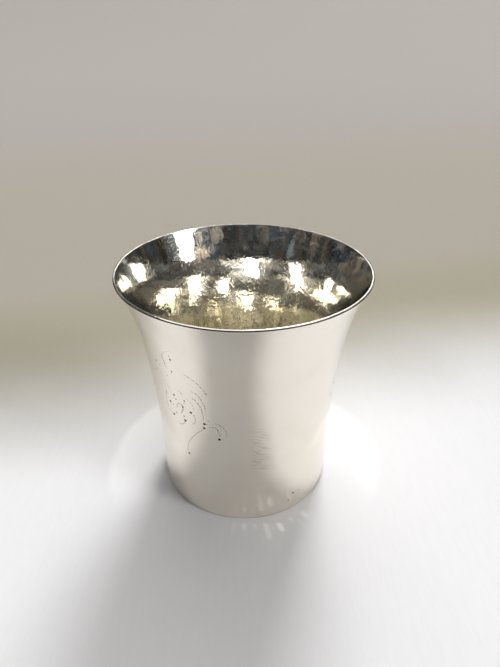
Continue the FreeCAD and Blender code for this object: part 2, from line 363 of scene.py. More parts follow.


# Burnished inside: a pebbly mirror with fine rubbing marks, yellower low down, partly stain and partly a
# painted warm glow of light bouncing deep inside, with a band of upright painted glints and painted dark
# reflections above the base, and hazy below it
def makeBurnished():
    material, tree, place = newMaterial("silver_burnished")
    cloud = noiseAt(place, (0.11, 0.11, 0.11), 4.0, 0.6, 2.2)
    rub = noiseAt(place, (0.5, 0.5, 3.0), 3.0, 0.6, 6.1)
    hairs = scratches(place, (0.5, 0.5, 0.7), 0.006, 8.8)
    height = coordinates(place)[2]
    low = 1.0 - height.step(*burnished["stainAndGlowFade"])
    band = 1.0 - (height + (cloud - 0.5) * burnished["bandWander"]).step(*burnished["bandEnd"])
    band = band * height.step(*burnished["bandStart"])
    bottom = 1.0 - height.step(*burnished["hazed"])
    pebble = noiseAt(place, (0.8, 0.8, 0.7), 1.0, 0.5, 4.7)
    # painted warm glow: yellower low down where light bounces many times inside, plus random stain patches
    # everywhere
    stainAndWarmGlow = cloud.step(0.35, 0.75) * low * 0.75 + cloud.step(0.5, 0.8) * 0.15
    colour = stainAndWarmGlow.blend(burnished["silver"], burnished["stain"])
    roughness = burnished["roughness"] + (cloud - 0.5) * 0.05 + hairs * 0.06 + (rub - 0.5) * 0.03
    # painted glints and painted dark reflections: upright streaks of cream and dull colour in the band
    pale = noiseAt(place, (0.7, 0.7, 0.08), 3.0, 0.65, 1.3).step(0.43, 0.5)
    colour = band.blend(colour, pale.blend(burnished["paintedDarkReflection"], burnished["paintedGlint"]))
    haze = (band * (0.06 + pale * 0.8)).math("MAXIMUM", bottom * (0.42 + (cloud - 0.5) * 0.7))
    metallic = 0.985 - haze - stainAndWarmGlow * 0.03
    streak = noiseAt(place, (0.9, 0.9, 0.22), 2.0, 0.5, 7.9)
    ripple = noiseAt(place, (1.5, 1.5, 0.9), 1.0, 0.5, 3.7)
    relief = pebble * (0.9 + low * 0.2) + streak * (0.3 + low * 0.6) + ripple * 0.3
    relief = relief + rub * 0.05 - hairs * 0.06
    finishSilver(tree, colour, roughness, relief, burnished["relief"] * mm, metallic)
    return material


worn = {
    "silver": (0.90, 0.88, 0.835), "grime": (0.20, 0.16, 0.12), "roughness": 0.26, "relief": 0.003,
    "grimeRing": (29.6, 31.4),    # radii between which the grime thickens
}


# Worn silver under the foot: crossed scratches, and grime that settles by the wall
def makeWorn():
    material, tree, place = newMaterial("silver_worn")
    cloud = noiseAt(place, (0.13, 0.13, 0.13), 4.0, 0.6, 4.4)
    grain = noiseAt(place, (1.6, 1.6, 1.6), 3.0, 0.6, 7.7)
    hairs = scratches(place, (0.5, 0.12, 0.5), 0.008, 2.8)
    cross = scratches(place, (0.14, 0.6, 0.5), 0.008, 6.3)
    marks = hairs.math("MAXIMUM", cross)
    radius = place.vector("MULTIPLY", (1.0, 1.0, 0.0)).vector("LENGTH", output=1)
    edge = (radius + grain * 2.0).step(*worn["grimeRing"])
    grime = (edge * 0.85).math("MAXIMUM", cloud.step(0.55, 0.85) * 0.3)
    colour = grime.blend(worn["silver"], worn["grime"])
    roughness = worn["roughness"] + (cloud - 0.5) * 0.16 + marks * 0.1 + grime * 0.2
    finishSilver(tree, colour, roughness, grain * 0.6 - marks * 1.5, worn["relief"] * mm)
    return material


solder = {
    "silver": (0.62, 0.58, 0.50), "tarnish": (0.07, 0.05, 0.035), "roughness": 0.3, "relief": 0.02,
}


# Solder: greyer silver with pits and patches of tarnish
def makeSolder():
    material, tree, place = newMaterial("silver_solder_seam")
    cloud = noiseAt(place, (0.45, 0.45, 0.45), 4.0, 0.6, 1.4)
    pits = noiseAt(place, (2.6, 2.6, 2.6), 2.0, 0.5, 3.6).step(0.60, 0.70)
    dark = cloud.step(0.36, 0.6) * 0.9
    tarnish = dark.math("MAXIMUM", pits * 0.9)
    colour = tarnish.blend(solder["silver"], solder["tarnish"])
    roughness = solder["roughness"] + tarnish * 0.3
    relief = cloud - pits * 2.0
    finishSilver(tree, colour, roughness, relief, solder["relief"] * mm, 1.0 - tarnish * 0.8)
    return material


wire = {
    "silver": (0.90, 0.88, 0.82), "tarnish": (0.06, 0.043, 0.025), "roughness": 0.14, "gloss": 0.0,
    "relief": 0.004, "darkBelow": 82.84, "brightAbove": 83.3,
}


# Lip wire: bright along its top where hands and polish reach, dark with old polish below
def makeWire():
    material, tree, place = newMaterial("silver_lip_wire")
    cloud = noiseAt(place, (0.2, 0.2, 0.2), 4.0, 0.6, 5.5)
    grain = noiseAt(place, (1.4, 1.4, 1.4), 2.0, 0.6, 8.2)
    height = coordinates(place)[2]
    low = 1.0 - (height + (grain - 0.5) * 0.3).step(wire["darkBelow"], wire["brightAbove"])
    grime = (low * (1.0 - cloud.step(0.5, 0.75) * 0.2)).math("MAXIMUM", cloud.step(0.56, 0.8) * 0.25)
    colour = grime.blend(wire["silver"], wire["tarnish"])
    roughness = wire["roughness"] + (cloud - 0.5) * 0.1 + grime * 0.4
    finishSilver(tree, colour, roughness, grain, wire["relief"] * mm, 1.0 - grime * 1.2, wire["gloss"])
    return material


satinSilver = makeSatin()
burnishedSilver = makeBurnished()
wornSilver = makeWorn()
solderSilver = makeSolder()
wireSilver = makeWire()
print("materials made")

# The engraved spray: strokes as (azimuth, height, strength) and punched dots as
# (azimuth, height, radius, strength)
spray = {
    "strokes": [
        [(-42, 66.9, .3), (-43.4, 66.2, .6), (-44, 65.2, .8), (-44.4, 64.2, .9), (-44.2, 63.3, 1),
         (-43.7, 61.8, 1), (-43, 60.9, .5)],
        [(-42, 66.9, .25), (-40, 67.9, .25), (-38, 68.6, .2), (-36, 69.1, .2), (-34.8, 68.4, .15),
         (-34.4, 67, .15), (-34.8, 66.2, .1)],
        [(-57.5, 55.2, .3), (-55, 56.3, .4), (-53, 57.2, .3)],
        [(-41.2, 45.2, .5), (-40.6, 46.2, .6), (-40, 46.8, .6), (-39, 47.3, .7), (-37.8, 47.4, .8),
         (-36.9, 46.9, .9), (-36.5, 46.2, 1), (-36.4, 45.6, 1), (-36.8, 44.8, 1), (-37.5, 44.1, .9),
         (-38.3, 43.4, .7)],
        [(-43, 42, .3), (-44.5, 41.3, .3)],
        [(-38, 52.7, .4), (-36.8, 52.6, .4), (-35.9, 52.4, .5), (-35.2, 52.1, .9), (-34.9, 51.7, .4)],
        [(-45.8, 53, .4), (-45, 52.3, .45), (-44.4, 51.4, .4)],
        [(-48.6, 49.2, .4), (-48.9, 48.3, .4)],
        [(-49.2, 49, .4), (-50, 47, .45), (-50.5, 45, .5), (-50.8, 43.5, .5), (-50, 42, .5),
         (-48.7, 40.8, .5), (-46.5, 39.9, .6), (-45.6, 40.4, .8)],
        [(-32.5, 50.4, .4), (-30.5, 49.8, .45), (-29.3, 48.9, .5), (-28.8, 47.5, .5), (-28.9, 46.5, .3)],
        [(-29.3, 44.3, .9), (-29, 43.6, .6), (-28.8, 42.8, .6), (-28.9, 42, .6), (-29.3, 41.2, .6),
         (-30.2, 40.5, .5), (-31.2, 40.2, .4), (-32, 39.8, .25)],
        [(-43.6, 37.8, .3), (-42.5, 37.5, .5), (-41.3, 37.4, .7), (-40.2, 37.6, .9), (-39, 38, .6),
         (-38, 38.6, .6), (-37, 39.4, .6), (-36.4, 40.4, .8)],
        [(-31, 60.9, .4), (-30, 60.9, .9), (-28.5, 60.4, .6), (-27, 60, .6), (-25.5, 59.5, .6),
         (-24.7, 59.2, .9), (-23.5, 58.4, .6), (-22.2, 57.5, .9), (-21.2, 56.6, .6), (-20.3, 55.7, .7),
         (-19.6, 54.8, 1)],
        [(-28.2, 54.7, .5), (-27.5, 54.5, .5), (-26.3, 54.5, .5), (-25.2, 54, .9), (-23.9, 53.2, .6),
         (-23.3, 52.5, .9), (-22.7, 51.5, .6), (-22.1, 50.6, .6), (-21.5, 49.7, .9), (-21.5, 48, .3),
         (-21.7, 46.5, .25)],
        [(-28.6, 51.7, .8), (-27.8, 51.9, 1), (-26.8, 51.2, .8), (-26, 50.6, .8), (-25.4, 50.1, 1),
         (-24.6, 49.3, .8), (-24, 48.7, .8), (-23.7, 47.7, 1), (-23.5, 46.8, .7), (-23.2, 45.5, .6),
         (-23.2, 43.5, .35)],
        [(-24.2, 39.2, .6), (-25.5, 38.5, .6), (-27, 37.8, .6), (-28.5, 36.9, .6), (-30, 35.8, .6),
         (-31.5, 34.8, .6), (-33, 33.7, .6), (-34.3, 32.5, .55), (-35.6, 31.3, .55), (-36.4, 30.3, .5),
         (-37.1, 29, .5), (-37.4, 28, .45), (-37.5, 27.2, .4)],
        [(-20, 41.2, .45), (-19.2, 41.2, .5), (-18.5, 41.4, .5), (-17.8, 41.5, .5), (-16.8, 41.7, .55),
         (-15.9, 41.2, .6), (-15.2, 40.5, .9), (-14.9, 39.8, .6), (-14.5, 39.2, .6), (-14.3, 38.4, .6),
         (-14.4, 37.8, .6)],
        [(-16.1, 43.3, .45), (-15, 43, .9), (-14, 42.8, .6), (-12.9, 42.5, .9), (-12, 42, .6),
         (-11.2, 41.2, .55), (-10.6, 40.5, .5), (-10.3, 39.6, .45), (-10.2, 38.2, .35)],
    ],
    "dots": [
        (-38.2, 65.2, .42, .9), (-38.4, 66.6, .22, .4), (-39.5, 60, .34, .8), (-52, 60.8, .34, .7),
        (-49.2, 60, .24, .4), (-44.2, 57.2, .24, .35), (-42, 49.8, .44, 1), (-41, 48.3, .28, .8),
        (-46.8, 45.6, .44, 1), (-44.3, 45.1, .24, .4), (-45.6, 40.4, .44, 1), (-43.2, 41.8, .24, .4),
        (-34.5, 49.3, .34, .8), (-35.1, 48.1, .24, .4), (-31.3, 45.1, .46, 1), (-36.8, 42.1, .3, .8),
        (-36.4, 40.4, .46, 1), (-36.5, 46.3, .34, 1), (-23.1, 42, .46, 1), (-23.5, 40.1, .46, 1),
        (-36.9, 25.4, .42, .6), (-20.4, 43.8, .24, .4), (-21.6, 42.2, .24, .4), (-14.7, 36.5, .48, 1),
    ],
    # copies as (azimuth, rise, slip of place, slip of strength)
    "copies": [(0.0, 0.0, 0.0, 0.0), (113.0, 0.3, 0.35, 0.06), (233.0, -0.4, 0.4, 0.075)],
    # a groove: half its width, its depth, from one punch mark to the next along it, points along it,
    # and points beside it that guard its edge
    "width": 0.26, "depth": 0.085, "pitch": 1.15, "spacing": 0.3, "smoothings": 3, "guard": 0.14,
    # least force of a groove, and how steeply a cut darkens from its edge inwards
    "faintest": 0.12, "darkening": 2.2,
    # a dot: its depth at the given radius, its growth, and rings of points as (share of radius, points)
    "dotDepth": 0.12, "dotRadius": 0.4, "dotSpread": 1.15, "dotRings": [(0.5, 7), (1.0, 12), (1.4, 12)],
    # marks closer together than merge become one point, and the even grid keeps clear of them
    "merge": 0.09, "clear": 0.38, "seam": 0.3,
}
# Corrosion pits near the foot: (azimuth, height, radius, strength)
footPits = [(33, 7, .38, .8), (38, 7, .22, .6), (29.5, 4.4, .26, .5), (36, 8.6, .16, .5)]


# A stroke as points of the unrolled wall at even spacing with a strength each: straight runs
# between the given points, rounded by averaging each point with its neighbours
def followStroke(stroke, shift, spacing):
    stroke = np.array(stroke, float) + shift
    flat = np.stack([np.radians(stroke[:, 0]) * sideRadius(stroke[:, 1]), stroke[:, 1]], -1)
    length = np.concatenate([[0], np.cumsum(np.hypot(*np.diff(flat, axis=0).T))])
    count = max(int(length[-1] / spacing), 2) + 1
    along = np.linspace(0, length[-1], count)
    line = np.stack([np.interp(along, length, stroke[:, part]) for part in range(3)], -1)
    for smoothing in range(spray["smoothings"]):
        line[1:-1, :2] = (line[:-2, :2] + 2 * line[1:-1, :2] + line[2:, :2]) / 4
    points = np.stack([np.radians(line[:, 0]) * meanRadius, line[:, 1]], -1)
    return points, line[:, 2], along


# Every stroke and dot of all copies, each copy with the small slips of a hand
def drawSprays():
    strokes, dots = [], []
    for azimuth, rise, slip, unsteady in spray["copies"]:
        for stroke in spray["strokes"]:
            wander = random.normal(0, slip, 2) * (1, 0.5)
            whole = 360 if stroke[0][0] + azimuth < 0 else 0    # keeps azimuths above 0
            shift = np.array([azimuth + whole + wander[0], rise + wander[1], random.normal(0, unsteady)])
            strokes.append(followStroke(stroke, shift, spray["spacing"]))
        for dot in spray["dots"]:
            wander = random.normal(0, slip, 2) * (1, 0.5)
            radius = dot[2] * spray["dotSpread"]
            dots.append((azimuth + dot[0] + wander[0], dot[1] + rise + wander[1], radius, dot[3]))
    return strokes, dots + footPits


# Depth and darkness of the cuts at each unrolled point. A stroke is a groove with straight sides
# whose depth follows a cosine along it, as a chain of touching punch marks. A dot is a bowl, one
# less the square of the distance over the radius. The deepest cut holds where they cross
def cutDepth(flat, strokes, dots):
    depth = np.zeros(len(flat))
    dark = np.zeros(len(flat))
    stretch = sideRadius(flat[:, 1]) / meanRadius
    for points, strength, along in strokes:
        low, high = points.min(0) - 1, points.max(0) + 1
        near = np.flatnonzero(((flat > low) & (flat < high)).all(1))
        scale = np.stack([stretch[near], np.ones(len(near))], -1)
        apart = (flat[near, None] - points[None]) * scale[:, None]
        closest = (apart ** 2).sum(-1).argmin(1)
        tangent = np.gradient(points, axis=0) * (stretch[near].mean(), 1)
        tangent /= np.linalg.norm(tangent, axis=1, keepdims=True)
        offset = apart[np.arange(len(near)), closest]
        forward = (offset * tangent[closest]).sum(1)
        aside = np.abs(offset[:, 0] * tangent[closest, 1] - offset[:, 1] * tangent[closest, 0])
        beyond = np.maximum(np.abs(forward) - spray["spacing"] * 0.6, 0)
        reach = np.hypot(aside, beyond)
        force = np.clip(strength[closest], spray["faintest"], 1)
        beat = 0.5 + 0.5 * np.cos((along[closest] + forward) * turn / spray["pitch"])
        force = force * rising(beat, spray["faintest"])
        share = np.maximum(1 - reach / (spray["width"] * rising(np.sqrt(force), 0.5)), 0)
        depth[near] = np.maximum(depth[near], spray["depth"] * share * rising(force, 0.35))
        shade = np.minimum(share * spray["darkening"], 1) * rising(force, 0.16)
        dark[near] = np.maximum(dark[near], shade)
    for azimuth, height, radius, strength in dots:
        centre = np.array([math.radians(azimuth) * meanRadius, height])
        apart = flat - centre
        apart[:, 0] = shorterWay(apart[:, 0], around)
        share = 1 - ((apart[:, 0] * stretch) ** 2 + apart[:, 1] ** 2) / radius ** 2
        share = np.maximum(share, 0)
        depth = np.maximum(depth, spray["dotDepth"] * share * radius / spray["dotRadius"])
        dark = np.maximum(dark, np.minimum(share * spray["darkening"], 1) * rising(strength, 0.3))
    return depth, dark


# Unevenness that hammering and wear left outside
unevenness = {
    "waves": 46, "waveHeight": 0.011, "shortest": 7.0, "longest": 26.0,
    "fade": (0.2, 1.5, 1.3, 2.0),    # as fadeEnds takes it
    # dents as (azimuth, height, width round, width up, depth)
    "dents": [
        (8, 39, 2.3, 1.1, .10), (10.5, 36.6, 2.2, 1.1, .12), (6.5, 34.3, 2.3, 1.1, .11),
        (11, 32, 2.2, 1.1, .13), (7.5, 29.8, 2.3, 1.2, .13), (12, 27.4, 2.1, 1.1, .12),
        (8.5, 25, 2.1, 1.2, .10), (13, 22.6, 2.0, 1.1, .08), (13.5, 42, 2.5, 1.2, .07),
        (4, 27, 2.0, 1.3, .06), (15.5, 34, 2.0, 1.2, .05),
        (3, 7, 1.5, 1.6, .12), (10, 5, 1.4, 1.9, .12), (17, 6.5, 1.4, 1.8, .12), (24, 5, 1.3, 1.8, .12),
        (31, 7, 1.4, 1.9, .12), (38, 5.6, 1.3, 1.8, .12), (-5, 5, 1.5, 1.6, .06), (46, 6.6, 1.5, 1.9, .12),
        (13, 11.5, 1.7, 1.6, .06), (21, 11, 1.6, 1.7, .06), (29, 12, 1.6, 1.7, .05), (55, 9, 1.6, 1.7, .05),
        (150, 20, 3.0, 2.5, .06), (205, 48, 3.0, 3.0, .05), (-95, 14, 2.6, 2.2, .06), (90, 33, 2.4, 2.4, .04),
    ],
}


# Depth of the outside's unevenness: small waves, and dents as bell shapes, faded out at the lip
# and the standing edge
def outsideDepth(angle, z):
    depth = manyWaves(angle, z, around, unevenness)
    for azimuth, height, wide, tall, deep in unevenness["dents"]:
        apart = shorterWay(angle - math.radians(azimuth), turn) * sideRadius(z)
        depth += deep * np.exp(-(apart / wide) ** 2 - ((z - height) / tall) ** 2)
    return depth * fadeEnds(z, *unevenness["fade"])


# The outside as triangles over the unrolled wall: an even grid, rows of points along every stroke
# and rings round every dot, joined by a Delaunay triangulation
def makeOutside(strokes, dots):
    low, high = wall["edgeRound"], lipEdgeZ
    layers = []
    for end in (low, high):
        across = np.linspace(0, around, wall["columns"] + 1)
        layers.append(np.stack([across, np.full_like(across, end)], -1))
    offsets = np.array([0, -spray["width"], spray["width"], -spray["width"] - spray["guard"],
                        spray["width"] + spray["guard"]])
    for points, strength, along in strokes:
        tangent = np.gradient(points, axis=0)
        tangent /= np.linalg.norm(tangent, axis=1, keepdims=True)
        aside = np.stack([-tangent[:, 1], tangent[:, 0]], -1)
        layers.append((points[None] + offsets[:, None, None] * aside[None]).reshape(-1, 2))
    for azimuth, height, radius, strength in dots:
        centre = np.array([math.radians(azimuth) * meanRadius, height])
        rings = [centre[None]]
        for share, count in spray["dotRings"]:
            spoke = np.arange(count) * turn / count
            rings.append(centre + radius * share * np.stack([np.cos(spoke), np.sin(spoke)], -1))
        layers.append(np.concatenate(rings))
    detail = np.concatenate(layers)
    edge = 2 * (wall["columns"] + 1)
    wrapped = detail.copy()
    wrapped[edge:, 0] %= around
    keys = np.round(wrapped / spray["merge"]).astype(np.int64)
    keys[:edge] = -1 - np.arange(edge)[:, None]    # every point of both ends is kept
    first = np.unique(keys, axis=0, return_index=True)[1]
    detail = wrapped[np.sort(first)]
    across, up = np.meshgrid(np.linspace(0, around, wall["skinColumns"] + 1),
                             np.linspace(low, high, wall["skinRows"] + 1)[1:-1])
    even = np.stack([across.ravel(), up.ravel()], -1)
    keep = np.ones(len(even), bool)
    marks = detail[edge:]
    onSeam = (even[:, 0] == 0) | (even[:, 0] == around)
    for start in range(0, len(even), batch):
        part = slice(start, start + batch)
        apart = ((even[part, None] - marks[None]) ** 2).sum(-1).min(1)
        keep[part] = apart > spray["clear"] ** 2
    marks = marks[(marks[:, 0] > spray["seam"]) & (marks[:, 0] < around - spray["seam"])]
    flat = np.concatenate([detail[:edge], marks, even[keep | onSeam]])
    result = geometry.delaunay_2d_cdt([Vector(point) for point in flat.tolist()], [], [], 0, 1e-7, False)
    flat = np.array([tuple(point) for point in result[0]])
    faces = np.array([face for face in result[2] if len(face) == 3])
    return flat, faces


# The wall as one closed shell: the outside, the rounded standing edge and the flat under it, the
# hammered inside, the lip's round at the inner edge and its slope that falls outward
def makeWall():
    strokes, dots = drawSprays()
    flat, faces = makeOutside(strokes, dots)
    cut, dark = cutDepth(flat, strokes, dots)
    angle = (flat[:, 0] % around) / meanRadius
    depth = outsideDepth(angle, flat[:, 1]) + cut
    skin = sidePoints(angle, flat[:, 1], 0.0, depth)
    print(f"outside: {len(flat)} points, {len(faces)} triangles")

    angle = evenAngles(wall["columns"])
    rounding = wall["edgeRound"]
    rows = []
    for bend in np.linspace(0, turn / 4, wall["edgeSteps"]):
        radius = wall["footRadius"] - rounding + rounding * math.cos(bend)
        rows.append(ringPoints(angle, radius, rounding - rounding * math.sin(bend)))
    rows.append(ringPoints(angle, wall["footRadius"] - wall["thickness"], 0.0))
    landRows = len(rows)
    inset = wall["thickness"]
    tangentZ = lipCentre[1] + (lipRadius + inset) * math.sin(lipTilt)
    heights = np.concatenate([np.linspace(0, wall["lowTop"], wall["lowRows"])[:-1],
                              np.linspace(wall["lowTop"], tangentZ, wall["innerRows"])])
    turned, height = [part.ravel() for part in np.meshgrid(angle, heights)]
    press = insideDepth(turned, height) + np.interp(height, *np.transpose(swelling))
    rows += list(sidePoints(turned, height, inset, press).reshape(len(heights), -1, 3))
    leave = math.pi / 2 - math.radians(wall["lipLean"])
    for bend in np.linspace(math.pi - lipTilt, leave, wall["lipSteps"])[1:]:
        radius = lipMiddleR + wall["lipRound"] * math.cos(bend)
        rows.append(ringPoints(angle, radius, lipMiddleZ + wall["lipRound"] * math.sin(bend)))
    rows.append(ringPoints(angle, lipEdgeR, lipEdgeZ))
    grid = np.concatenate(rows)
    quads = gridFaces(len(rows), len(angle), len(skin)).reshape(len(rows) - 1, -1, 4)
    feet = quads[:landRows - 1].reshape(-1, 4)
    inner = quads[landRows - 1:].reshape(-1, 4)
    points = np.concatenate([skin, grid])
    dark = np.concatenate([dark, np.zeros(len(grid))])
    points, groups, keep = weld(points, [faces, feet[:, ::-1], inner[:, ::-1]])
    numbers = {"cut": dark[keep]}
    materials = [satinSilver, wornSilver, burnishedSilver]
    makePiece("wall_shell", points, groups, materials, "beaker_wall", 50, numbers)


hammer = {
    # blows: from one to the next, their slip as a share of that, and the domes that they leave
    "across": 2.2, "up": 3.2, "jitter": 0.38, "domeRadius": 110.0, "softness": 0.0003, "liftSpread": 0.0015,
    # the unrolled inside: radius, height with some to spare, and how far blows repeat past the seam
    "radius": 35.0, "tall": 92.0, "overlap": 9.0,
    "waves": 40, "waveHeight": 0.014, "shortest": 6.0, "longest": 30.0,
    "fade": (2.5, 3.0, 0.6, 2.5),    # as fadeEnds takes it
}


# Many small waves added together, each a cosine with a whole number of turns round the wall and a
# height in proportion to its length. The sizes are a dictionary's, and length is once round
def manyWaves(angle, z, length, sizes):
    total = np.zeros(len(angle))
    for number in range(sizes["waves"]):
        wave = random.uniform(sizes["shortest"], sizes["longest"])
        heading = random.uniform(0, turn)
        turns = round(length / wave * math.cos(heading))
        upright = turn / wave * math.sin(heading)
        height = sizes["waveHeight"] * wave / sizes["longest"]
        total += height * np.cos(turns * angle + upright * z + random.uniform(0, turn))
    return total


# Depth of the hammered inside, positive towards the axis: facets on a jittered grid of blows over
# the unrolled inside and slow waves, faded out at the lip and below the base
def insideDepth(angle, z):
    length = turn * hammer["radius"]
    count = round(length / hammer["across"])
    levels = int(hammer["tall"] / hammer["up"])
    column, level = np.meshgrid(np.arange(count), np.arange(levels))
    slip = random.uniform(-hammer["jitter"], hammer["jitter"], (2, *level.shape))
    across = (column + (level % 2) * 0.5 + slip[0]) % count * length / count
    up = (level + slip[1]) * hammer["up"]
    lift = random.normal(0, hammer["liftSpread"], across.size)
    squash = hammer["across"] / hammer["up"]    # blows are taller than wide
    centres = np.stack([across.ravel(), up.ravel() * squash], -1)
    centres = np.concatenate([centres, centres - (length, 0), centres + (length, 0)])
    lift = np.tile(lift, 3)
    close = (centres[:, 0] > -hammer["overlap"]) & (centres[:, 0] < length + hammer["overlap"])
    flat = np.stack([angle * hammer["radius"], z * squash], -1)
    depth = facets(flat, centres[close], lift[close], hammer["domeRadius"], hammer["softness"])
    depth += manyWaves(angle, z, length, hammer)
    return depth * fadeEnds(z, *hammer["fade"])


makeWall()

base = {
    "lift": 0.8, "thickness": 0.8, "seat": 2.5, "rise": 0.7, "rings": 62, "columns": 240,
    "punchRadius": 0.7, "punchDepth": 0.22,
    # blows: from one to the next, from row to row as a share of it, their slip, and the domes that
    # they leave, which fade by the rim
    "step": 4.8, "rowShare": 0.87, "slip": 1.1, "domeRadius": 60.0, "softness": 0.004, "liftSpread": 0.008,
    "calm": 0.8,
}


# The base: a plate whose middle is a shallow part of a sphere, hammered above, with a centre punch
# mark below. Rings of points run from the top's middle out over the rim and back under
def makeBase():
    rim = wall["footRadius"] - wall["thickness"]
    seat = rim - base["seat"]
    sphere = (seat ** 2 + base["rise"] ** 2) / (2 * base["rise"])
    spots = [(x + (y % 2) * 0.5, y * base["rowShare"]) for x in range(-8, 8) for y in range(-8, 9)]
    spots = np.array(spots) * base["step"]
    spots += random.uniform(-base["slip"], base["slip"], spots.shape)
    lift = random.normal(0, base["liftSpread"], len(spots))
    grid = np.meshgrid(evenAngles(base["columns"]), np.linspace(0, rim, base["rings"]))
    angle, radius = [part.ravel() for part in grid]
    spread = np.stack([radius * np.sin(angle), -radius * np.cos(angle)], -1)
    dome = np.maximum(np.sqrt(sphere ** 2 - np.minimum(radius, seat) ** 2) - sphere + base["rise"], 0)
    marks = facets(spread, spots, lift, base["domeRadius"], base["softness"])
    marks = marks * np.clip((rim - base["calm"] - radius) / 2, 0, 1)
    top = np.column_stack([spread, base["lift"] + base["thickness"] + dome + np.minimum(marks, 0)])
    punch = np.maximum(1 - (radius / base["punchRadius"]) ** 2, 0) * base["punchDepth"]
    under = np.column_stack([spread, base["lift"] + dome + punch + np.maximum(-0.5 * marks, 0)])
    shape = (*grid[0].shape, 3)
    rows = np.concatenate([top.reshape(shape), under.reshape(shape)[::-1]])
    faces = gridFaces(len(rows), base["columns"] + 1)[:, ::-1]
    half = len(faces) // 2
    points, groups = weld(rows.reshape(-1, 3), [faces[:half], faces[half:]])[:2]
    makePiece("base_plate", points, groups, [burnishedSilver, wornSilver], "base_disc", 50)


makeBase()


# A closed ring whose section is a loop of corners, counterclockwise with the radius to the right
# and the height up. The section may change with the angle: radii and heights are corners by angles
def makeRing(name, radii, heights, angle, material, replaced, sharpAngle):
    radii = np.array(radii + radii[:1])
    heights = np.array(heights + heights[:1])
    rows = np.stack([radii * np.sin(angle), -radii * np.cos(angle), heights], -1)
    faces = gridFaces(len(rows), len(angle))
    points, groups = weld(rows.reshape(-1, 3), [faces])[:2]
    makePiece(name, points, groups, [material], replaced, sharpAngle)


# Uneven share round a ring, between 0 and 1: cosines of whole numbers of turns, added and flattened
# by a hyperbolic tangent
def unevenRound(angle, fewest, most, count):
    total = np.zeros(len(angle))
    for number in range(count):
        total += np.cos(random.integers(fewest, most) * angle + random.uniform(0, turn))
    return 0.5 + 0.5 * np.tanh(total / math.sqrt(count))


# Legs, radius of the hollow arc as a share of them, and how much shorter they may get
baseFillet = {"leg": 0.7, "meniscusShare": 1.4, "slack": 0.3, "columns": 480, "arcSteps": 6}


# Solder inside at the base: two straight legs and a hollow arc, whose size wanders round the ring
def makeBaseSolder():
    angle = evenAngles(baseFillet["columns"])
    corner = wall["footRadius"] - wall["thickness"]
    floor = base["lift"] + base["thickness"]
    leg = baseFillet["leg"] * (1 - baseFillet["slack"] * unevenRound(angle, 9, 60, 8))
    bend = baseFillet["meniscusShare"]
    away = math.sqrt(bend ** 2 - 0.5) * math.sqrt(0.5)
    radii = [corner - leg, np.full_like(leg, corner), np.full_like(leg, corner)]
    heights = [np.full_like(leg, floor), np.full_like(leg, floor), floor + leg]
    middle = (corner - leg * (0.5 + away), floor + leg * (0.5 + away))
    half = math.asin(math.sqrt(0.5) / bend)
    for share in np.linspace(half, -half, baseFillet["arcSteps"])[1:-1]:
        radii.append(middle[0] + leg * bend * math.cos(share - turn / 8))
        heights.append(middle[1] + leg * bend * math.sin(share - turn / 8))
    makeRing("base_solder_seam", radii, heights, angle, solderSilver, "base_solder", 40)


# The lip wire's section, as radius and height: its foot on the wall, the lip's outer edge, the end of
# its flat underside, and the middle and radius of its round face
wireFootAngle = math.asin((wall["height"] - lipCentre[1]) / lipRadius)
wireFootAngle -= 2 * math.asin(wall["wireWidth"] / (2 * lipRadius))
wireFoot = np.array([lipCentre[0] - lipRadius * math.cos(wireFootAngle),
                     lipCentre[1] + lipRadius * math.sin(wireFootAngle)])
lipEdge = np.array([float(sideRadius(wall["height"])), wall["height"]])
wireRise = (lipEdge - wireFoot) / wall["wireWidth"]    # up along the wire's back
wireOut = np.array([wireRise[1], -wireRise[0]])    # square to its back, away from the wall
wireCorner = wireFoot + wireOut * wall["wireFlat"]
wireRound = (wall["wireWidth"] ** 2 + wall["wireFlat"] ** 2) / (2 * wall["wireWidth"])
wireMiddle = lipEdge - wireRise * wireRound
lipRing = {
    "columns": 720, "arcSteps": 14, "ripple": 0.012, "nicks": 34, "nickDepth": 0.05, "radius": 42.0,
    "wornFrom": 82.56, "wornTo": 82.97, "wornShare": 0.7,    # heights, and 1 would be quite flat
}


# The lip wire: its flat back and underside, and a round face that wear has nearly flattened between
# two heights, with slight ripple and nicks
def makeLipWire():
    angle = evenAngles(lipRing["columns"])
    press = lipRing["ripple"] * unevenRound(angle, 30, 160, 10)
    for nick in range(lipRing["nicks"]):
        apart = shorterWay(angle - random.uniform(0, turn), turn) * lipRing["radius"]
        deep = lipRing["nickDepth"] * random.uniform(0.2, 1)
        press += deep * np.exp(-(apart / random.uniform(0.3, 0.7)) ** 2)
    bends = [math.asin((height - wireMiddle[1]) / wireRound) for height in
             (wireCorner[1], lipRing["wornFrom"], lipRing["wornTo"], lipEdge[1])]
    half = (bends[2] - bends[1]) / 2
    middle = (bends[2] + bends[1]) / 2
    radii, heights = [np.full_like(angle, wireFoot[0])], [np.full_like(angle, wireFoot[1])]
    for share in np.linspace(0, 1, lipRing["arcSteps"]):
        bend = bends[0] + (bends[3] - bends[0]) * share
        chord = min(math.cos(half) / math.cos(min(abs(bend - middle), half)), 1)
        reach = wireRound * (1 + lipRing["wornShare"] * (chord - 1)) - press * math.sin(math.pi * share)
        radius = np.maximum(wireMiddle[0] + reach * math.cos(bend), lipEdgeR)
        slope = lipEdgeZ - (radius - lipEdgeR) * math.tan(math.radians(wall["lipLean"]))
        radii.append(radius)
        heights.append(np.minimum(wireMiddle[1] + reach * math.sin(bend), slope))
    radii[-1], heights[-1] = np.full_like(angle, lipEdgeR), np.full_like(angle, lipEdgeZ)
    makeRing("lip_wire_ring", radii, heights, angle, wireSilver, "lip_wire", 50)


